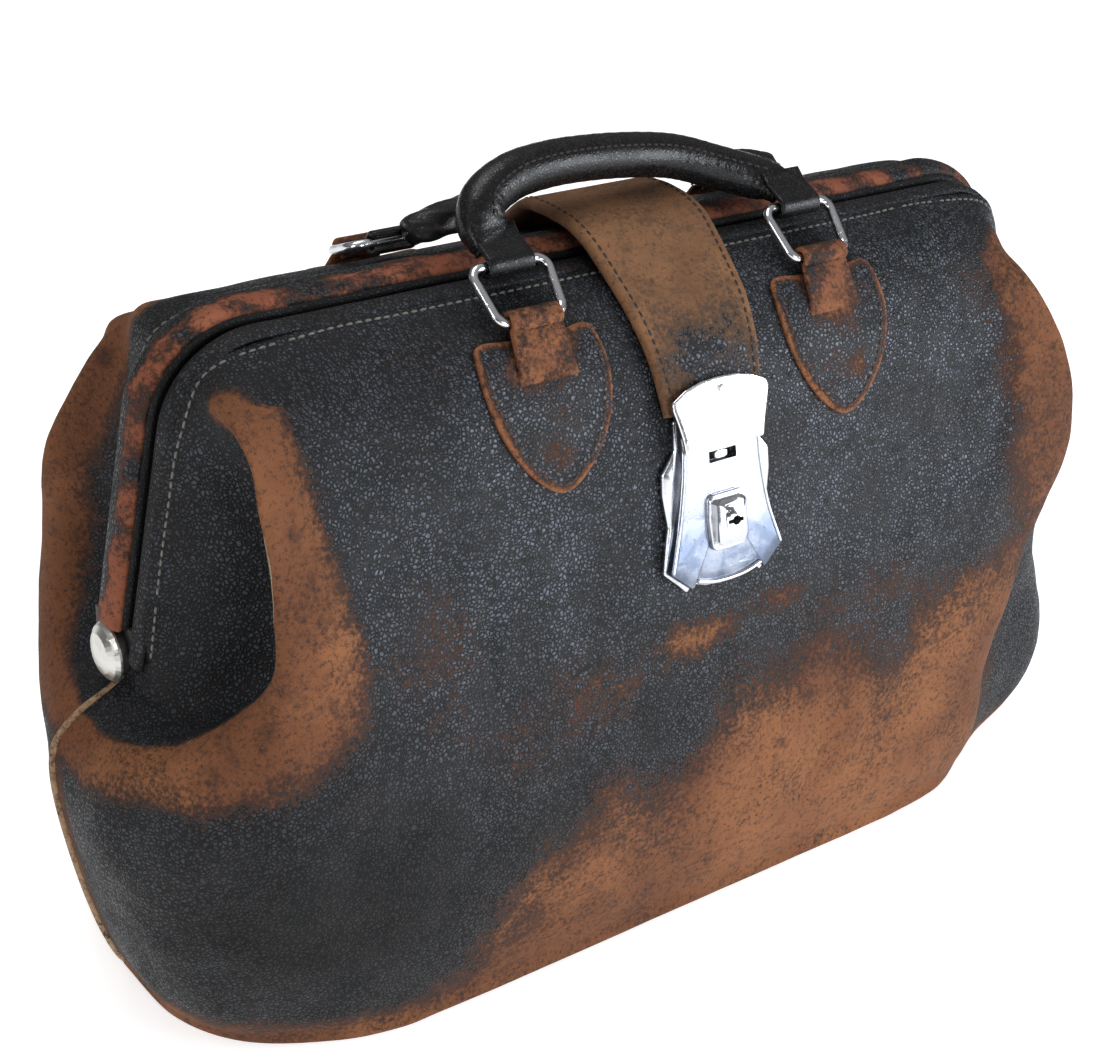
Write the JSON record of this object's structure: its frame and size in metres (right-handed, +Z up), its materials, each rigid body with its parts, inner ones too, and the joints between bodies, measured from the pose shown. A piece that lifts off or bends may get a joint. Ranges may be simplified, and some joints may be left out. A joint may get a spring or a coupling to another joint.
{
  "type": "doctor bag",
  "caption": "Worn leather doctor bag with a hinged steel frame, top handle, strap closure and sliding lock; opens like a pair of jaws.",
  "frame": {"origin": "middle of the base, on the surface the bag stands on", "axes": "+X along the bag's length towards its right end, -Y out of the front with the lock, +Z up"},
  "size_m": [0.4664, 0.185, 0.3069],
  "materials": {
    "black_leather": "pebbled, worn, semi-gloss",
    "brown_leather": "worn to a matt suede-like brown",
    "handle_leather": "polished by hand",
    "nickel": "bright nickel plate with fine scratches",
    "steel": "plain steel",
    "board": "plain board",
    "welt": "raw tan edge"
  },
  "bodies": {
    "root": {"lower_leather": "brown_leather", "bottom_board": "board", "end_welt_left": "welt", "end_welt_right": "welt", "pivot_rivet_left": "nickel", "pivot_rivet_right": "nickel"},
    "front_jaw": {"front_steel_jaw": "steel", "front_frame_leather": "brown_leather", "front_upper_leather": "black_leather", "front_shield_left": "black_leather", "front_shield_right": "black_leather", "lock_backplate": "steel", "lock_case": "nickel"},
    "lock_slider": {"lock_boss": "nickel", "lock_catch": "steel"},
    "rear_jaw": {"rear_steel_jaw": "steel", "rear_frame_cap": "brown_leather", "rear_upper_leather": "black_leather", "rear_shield_left": "black_leather", "rear_shield_right": "black_leather", "strap_tail": "brown_leather"},
    "strap": {"strap_front": "brown_leather", "hasp_plate": "nickel", "hasp_rivet": "nickel", "hasp_tongue": "nickel"},
    "front_rings": {"front_ring_left": "nickel", "front_ring_right": "nickel"},
    "handle": {"handle_grip": "handle_leather", "handle_tab_left": "handle_leather", "handle_tab_right": "handle_leather"},
    "rear_ring_left": {"rear_ring_left": "nickel", "rear_stub_loop_left": "handle_leather", "rear_stub_left": "handle_leather"},
    "rear_ring_right": {"rear_ring_right": "nickel", "rear_stub_loop_right": "handle_leather", "rear_stub_right": "handle_leather"}
  },
  "joints": [
    {"name": "front_jaw_open", "type": "hinge", "parent": "root", "child": "front_jaw", "pos_m": [0, 0, 0.148], "axis": [1, 0, 0], "range_deg": [0, 18]},
    {"name": "rear_jaw_open", "type": "hinge", "parent": "root", "child": "rear_jaw", "pos_m": [0, 0, 0.148], "axis": [-1, 0, 0], "range_deg": [0, 18]},
    {"name": "strap_lift", "type": "hinge", "parent": "rear_jaw", "child": "strap", "pos_m": [0, 0.012, 0.2776], "axis": [-1, 0, 0], "range_deg": [0, 18.01], "deforming": ["strap_front"]},
    {"name": "lock_slide", "type": "slide", "parent": "front_jaw", "child": "lock_slider", "axis": [1, 0, 0], "range_m": [0, 0.003], "stiffness_N_per_m": 300},
    {"name": "front_ring_swing", "type": "hinge", "parent": "front_jaw", "child": "front_rings", "pos_m": [0, -0.0415, 0.262], "axis": [1, 0, 0], "range_deg": [0, 110]},
    {"name": "handle_swing", "type": "hinge", "parent": "front_rings", "child": "handle", "pos_m": [0, -0.02455, 0.27602], "axis": [1, 0, 0], "range_deg": [0, 80]},
    {"name": "rear_ring_left_swing", "type": "hinge", "parent": "rear_jaw", "child": "rear_ring_left", "pos_m": [-0.085, 0.0415, 0.262], "axis": [-1, 0, 0], "range_deg": [0, 110]},
    {"name": "rear_ring_right_swing", "type": "hinge", "parent": "rear_jaw", "child": "rear_ring_right", "pos_m": [0.085, 0.0415, 0.262], "axis": [-1, 0, 0], "range_deg": [0, 110]}
  ],
  "couplings": [
    {"joint": "rear_jaw_open", "follows": "front_jaw_open", "ratio": 1},
    {"joint": "strap_lift", "follows": "front_jaw_open", "ratio": 1}
  ]
}
